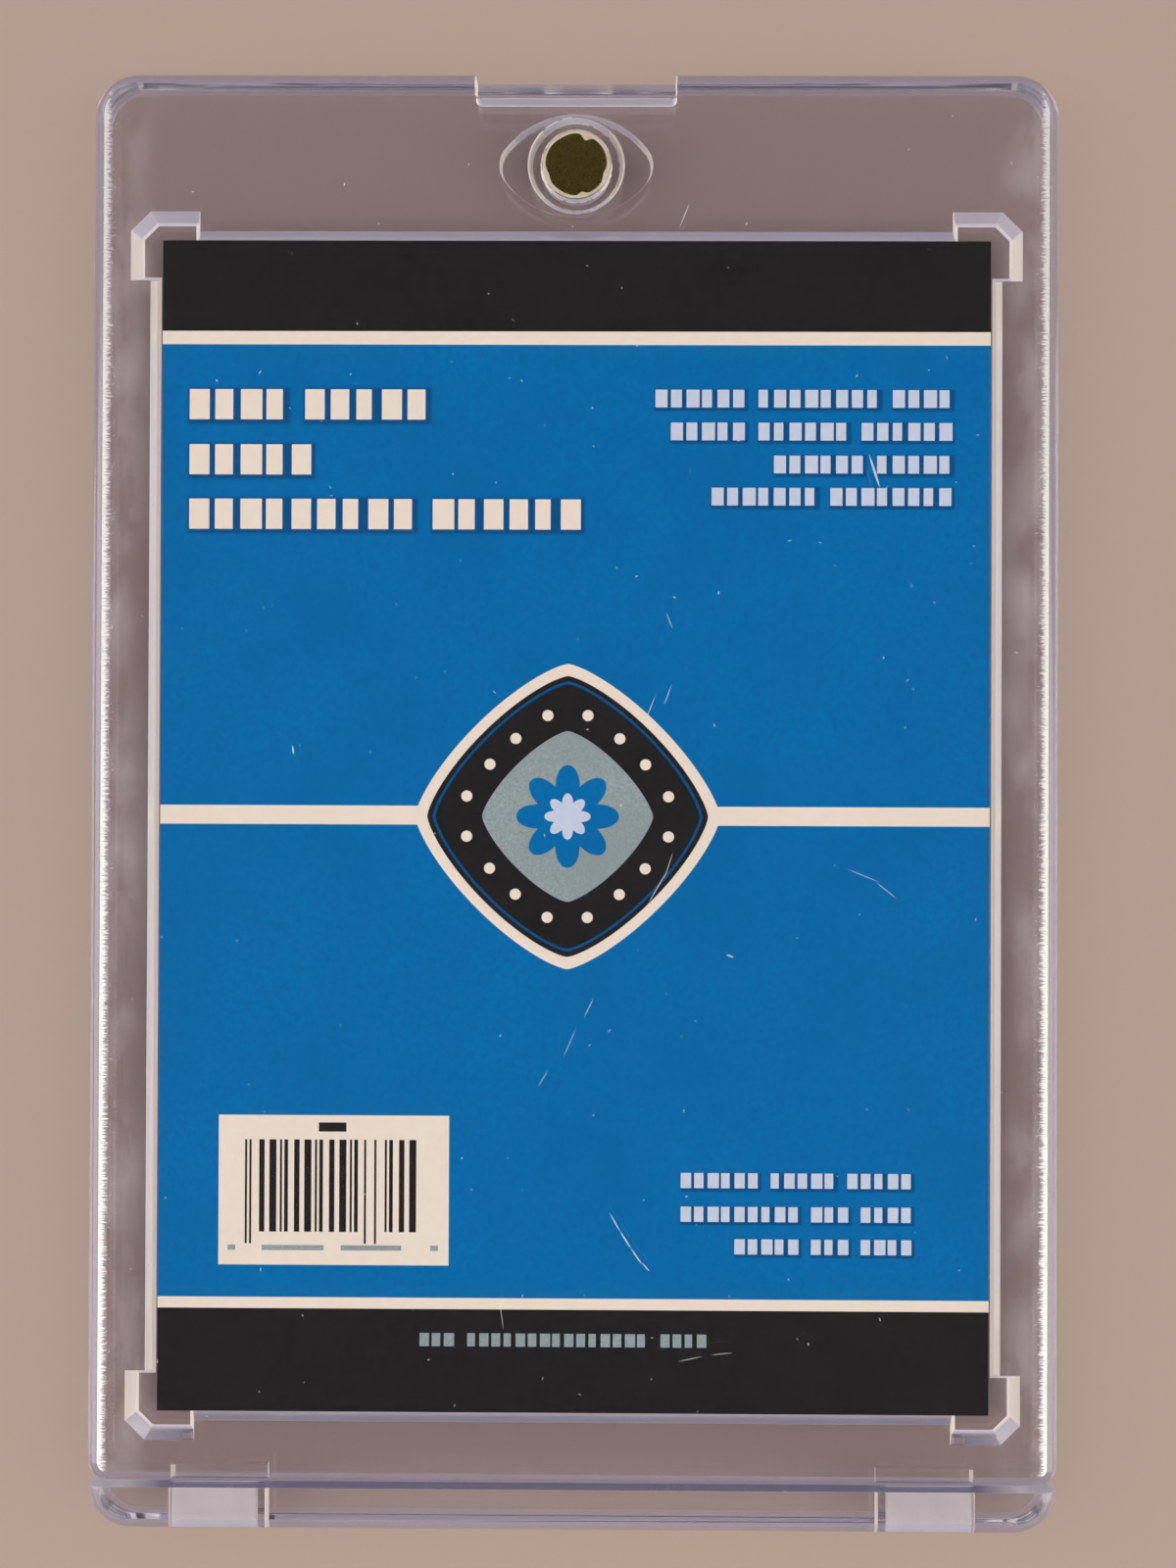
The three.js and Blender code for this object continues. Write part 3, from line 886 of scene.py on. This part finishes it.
badgeForm = {
    "centre": (-0.5 * mm, 0.7 * mm),
    "reach": 11.6 * mm,
    "power": 1.35,
    "steps": 192,
    "lift": 0.012 * mm,
    "layers": [("cream", 1.0), ("black", 0.92), ("shade", 0.885), ("black", 0.865), ("grey", 0.56)],
    "studs": 16,
    "studReach": 0.715,
    "studSize": 0.42 * mm,
    "petals": 8,
    "rosette": 3.9 * mm,
    "petalDip": 0.38,        # share of the rosette's reach that is lost between its petals
    "heart": 0.45,           # size of the pale rosette in the blue one
    "inkShare": 0.6,
}


def lozengeRadius(angles, reach, power):
    # distance from the middle at which |x|^power + |y|^power reaches the same sum all the way round
    return reach / (np.abs(np.cos(angles)) ** power + np.abs(np.sin(angles)) ** power) ** (1 / power)


def layerFan(angles, radius, centre, height):
    rim = np.stack([centre.x + radius * np.cos(angles), centre.y + radius * np.sin(angles)], 1)
    rim = np.column_stack([rim, np.full(len(angles), height)])
    return np.concatenate([rim, [[centre.x, centre.y, height]]])


def makeBadge(form):
    # each layer is a fan from its middle to radius(angle), and each lies a little above the one before
    centre = cardCentre + Vector((form["centre"][0], form["centre"][1], 0))
    angles = np.linspace(0, 2 * np.pi, form["steps"], endpoint=False)
    count = form["steps"]
    fan = np.stack([np.full(count, count), np.arange(count), (np.arange(count) + 1) % count], 1)
    vertices, faces, slots = [], [], []
    offset, height = 0, cardFace + form["lift"]
    shapes = []
    for ink, share in form["layers"]:
        shapes.append((ink, lozengeRadius(angles, form["reach"] * share, form["power"]), Vector((0, 0))))
    for i in range(form["studs"]):
        turn = 2 * np.pi * (i + 0.5) / form["studs"]
        reach = lozengeRadius(np.array([turn]), form["reach"] * form["studReach"], form["power"])[0]
        place = Vector((reach * math.cos(turn), reach * math.sin(turn)))
        shapes.append(("cream", lozengeRadius(angles, form["studSize"], 2.0), place))
    wave = np.abs(np.cos(angles * form["petals"] / 2))
    petal = form["rosette"] * (1 - form["petalDip"] + form["petalDip"] * wave)
    shapes.append(("blue", petal, Vector((0, 0))))
    shapes.append(("pale", petal * form["heart"], Vector((0, 0))))
    for level, (ink, radius, place) in enumerate(shapes):
        rise = height + form["lift"] * min(level, len(form["layers"]) + (1 if ink == "pale" else 0))
        middle = Vector((centre.x + place.x, centre.y + place.y))
        vertices.append(layerFan(angles, radius, middle, rise))
        faces.append(fan + offset)
        slots.append(np.full(count, inkOrder.index(ink)))
        offset += count + 1
    materials = [inks[name] for name in inkOrder]
    points, triangles = np.concatenate(vertices), np.concatenate(faces).tolist()
    badge = showMesh("insertBadge", points, triangles, materials, np.concatenate(slots), False)
    thickness = badge.modifiers.new("inkThickness", "SOLIDIFY")
    thickness.thickness = form["lift"] * form["inkShare"]
    thickness.offset = -1
    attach(badge, "base")


makeBadge(badgeForm)
print("badge made")


# fine scratches and specks just under the lid's face

scuffForm = {
    "depth": 0.02 * mm,
    "thickness": 0.008 * mm,
    "seed": 7,
    "margin": 3,                  # from the ends, and for the specks from the sides too
    "specks": 150,
    "speckLength": (0.06, 0.32),
    "speckWidth": (0.03, 0.08),
    "strokes": 1500,              # along the long sides
    "strokeInset": (0.95, 1.8),   # from the side, most of them near the first value
    "strokeCrowding": 3.5,
    "strokeLength": (0.1, 0.42),
    "strokeTurn": (20, 35),       # mean direction and its spread in degrees
    "strokeWidth": (0.015, 0.04),
    "along": 6,
    "around": 4,
    "tip": 0.999,                 # share of the half length at which a mark's end is closed
    "scratches": [   # x, y, length, direction in degrees, width, all but the direction in mm
        (22.3, 24.6, 2.6, 108, 0.17),
        (22.9, 22.8, 1.6, 62, 0.10),
        (7.1, 13.4, 1.3, 112, 0.05),
        (5.7, 6.9, 2.2, 68, 0.05),
        (7.0, 7.9, 1.6, 70, 0.05),
        (21.6, -5.5, 2.6, -22, 0.05),
        (23.3, -6.6, 1.9, -38, 0.05),
        (6.3, -6.4, 3.0, 60, 0.06),
        (7.1, -4.8, 2.1, 72, 0.05),
        (3.2, -31.3, 1.7, -60, 0.09),
        (4.0, -32.6, 1.6, -58, 0.11),
        (4.8, -33.8, 1.5, -55, 0.12),
        (5.5, -34.6, 0.9, -50, 0.10),
        (1.2, -15.4, 1.6, 64, 0.05),
        (-0.2, -18.0, 2.3, 66, 0.04),
        (-2.2, -20.7, 1.4, 58, 0.04),
        (-20.9, 3.7, 0.7, 96, 0.12),
        (11.7, -11.5, 0.6, -20, 0.14),
        (8.1, 43.6, 2.0, 68, 0.05),
        (-5.2, -38.2, 2.2, -82, 0.04),
        (8.8, -41.4, 1.9, 12, 0.05),
        (11.2, -41.0, 1.6, 6, 0.05),
    ],
}


def makeScuffs(form):
    # each mark is a closed sliver: an oval section that swells from nothing and back along its length
    draw = np.random.default_rng(form["seed"])
    count, strokes = form["specks"], form["strokes"]
    margin = form["margin"] * mm
    specks = np.column_stack([
        draw.uniform(lidLow.x + margin, lidHigh.x - margin, count) / mm,
        draw.uniform(lidEnd + margin, lidHigh.y - margin, count) / mm,
        draw.uniform(*form["speckLength"], count),
        draw.uniform(0, 180, count),
        draw.uniform(*form["speckWidth"], count),
    ])
    near, far = form["strokeInset"]
    inset = near + (far - near) * draw.random(strokes) ** form["strokeCrowding"]
    edge = np.column_stack([
        (lidHigh.x / mm - inset) * draw.choice([-1, 1], strokes),
        draw.uniform(lidEnd + margin, lidHigh.y - margin, strokes) / mm,
        draw.uniform(*form["strokeLength"], strokes),
        draw.normal(*form["strokeTurn"], strokes),
        draw.uniform(*form["strokeWidth"], strokes),
    ])
    marks = np.concatenate([specks, edge, np.array(form["scratches"])])
    along = np.linspace(-form["tip"], form["tip"], form["along"])
    around = np.linspace(0, 2 * np.pi, form["around"], endpoint=False)
    swell = np.sqrt(1 - along ** 2)[None, :, None]
    turn = np.radians(marks[:, 3])[:, None, None]
    run = marks[:, 2, None, None] * mm / 2 * along[None, :, None]
    side = marks[:, 4, None, None] * mm / 2 * swell * np.cos(around)
    shape = (len(marks), form["along"], form["around"])
    x = marks[:, 0, None, None] * mm + run * np.cos(turn) - side * np.sin(turn)
    y = marks[:, 1, None, None] * mm + run * np.sin(turn) + side * np.cos(turn)
    z = lidHigh.z - form["depth"] + form["thickness"] / 2 * swell * np.sin(around)
    points = np.stack([np.broadcast_to(a, shape) for a in (x, y, z)], 3).reshape(-1, 3)
    one = gridFaces(form["along"], form["around"], wrapColumns=True)
    stride = form["along"] * form["around"]
    starts = np.arange(len(marks))[:, None] * stride
    sides = (one[None] + starts[:, :, None]).reshape(-1, 4)
    ring = np.arange(form["around"])
    caps = np.stack([starts + ring, starts + ring[::-1] + stride - form["around"]], 1)
    faces = sides.tolist() + caps.reshape(-1, form["around"]).tolist()
    scuffs = showMesh("lidScuffs", points, faces, [scuffWhite])
    faceOutwards(scuffs)
    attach(scuffs, "lid")


makeScuffs(scuffForm)
print("scuffs made")


# floor and studio light

studio = {
    "floor": toLinear(170, 152, 139),
    "floorThread": toLinear(178, 160, 146),
    "floorGrain": 900,
    "floorVaries": 0.06,
    "floorRoughness": 0.9,
    "floorShine": 0.1,
    "floorDrop": 0.05 * mm,
    "floorHalf": 3.0,
    "backdrop": toLinear(226, 222, 217),
    "ceiling": (0.013, 0.013, 0.015, 1),
    "ends": (0.34, 0.34, 0.48, 1),       # walls beyond the magnet end and the bottom end
    "sides": (0.92, 0.87, 0.80, 1),      # walls to the left and right
    "sidesFrom": (0.04, 0.5),            # square of the direction's X where the ends give way to the sides
    "ceilingFrom": (0.86, 0.93),         # height on the sphere of directions where the walls give way
    "softboxes": {
        "leftSoftbox": (-0.50, -0.05, 0.38),
        "rightSoftbox": (0.50, -0.12, 0.38),
    },
    "softboxSize": (0.42, 0.9),
    "softboxPower": 2.95,
    "softboxColour": (1, 0.96, 0.9),
}


def makeFloor():
    half = studio["floorHalf"]
    corners = [(-half, -half), (half, -half), (half, half), (-half, half)]
    vertices = [(x, y, baseLow.z - studio["floorDrop"]) for x, y in corners]
    material, tree, output = newMaterial("paleFloor")
    grain = objectNoise(tree, studio["floorGrain"], 3)
    share = spread(tree, grain.outputs[0], 0, studio["floorVaries"])
    tone = mixColours(tree, share, studio["floor"], studio["floorThread"])
    matte = addNode(tree, "ShaderNodeBsdfPrincipled", Base_Color=tone, Roughness=studio["floorRoughness"])
    matte.inputs["Specular IOR Level"].default_value = studio["floorShine"]
    tree.links.new(matte.outputs[0], output.inputs["Surface"])
    floor = showMesh("studioFloor", vertices, [[0, 1, 2, 3]], [material], smooth=False)


def makeWorld():
    # pale walls and a dark ceiling right above, so that the clear faces don't veil the print
    world = bpy.data.worlds.new("studioWorld")
    world.use_nodes = True
    tree = world.node_tree
    tree.nodes.clear()
    output = tree.nodes.new("ShaderNodeOutputWorld")
    place = addNode(tree, "ShaderNodeTexCoord")
    parts = addNode(tree, "ShaderNodeSeparateXYZ", Vector=place.outputs["Generated"])
    squared = mathNode(tree, "POWER", parts.outputs["X"], 2)
    across = spread(tree, squared, 0, 1, *studio["sidesFrom"])
    walls = mixColours(tree, across, studio["ends"], studio["sides"])
    overhead = spread(tree, parts.outputs["Z"], 0, 1, *studio["ceilingFrom"])
    room = mixColours(tree, overhead, walls, studio["ceiling"])
    tone = addNode(tree, "ShaderNodeBackground", Color=room, Strength=1)
    seen = addNode(tree, "ShaderNodeBackground", Color=studio["backdrop"], Strength=1)
    path = addNode(tree, "ShaderNodeLightPath")
    mix = addNode(tree, "ShaderNodeMixShader", Fac=path.outputs["Is Camera Ray"])
    tree.links.new(tone.outputs[0], mix.inputs[1])
    tree.links.new(seen.outputs[0], mix.inputs[2])
    tree.links.new(mix.outputs[0], output.inputs["Surface"])
    bpy.context.scene.world = world


def addSoftbox(name, place):
    data = bpy.data.lights.new(name, "AREA")
    data.shape = "RECTANGLE"
    data.size, data.size_y = studio["softboxSize"]
    data.energy = studio["softboxPower"]
    data.color = studio["softboxColour"]
    lamp = bpy.data.objects.new(name, data)
    lamp.location = place
    lamp.rotation_euler = (-Vector(place)).to_track_quat("-Z", "Y").to_euler()
    bpy.context.scene.collection.objects.link(lamp)


makeFloor()
makeWorld()
for softboxName, softboxPlace in studio["softboxes"].items():
    addSoftbox(softboxName, softboxPlace)
print("studio lit")
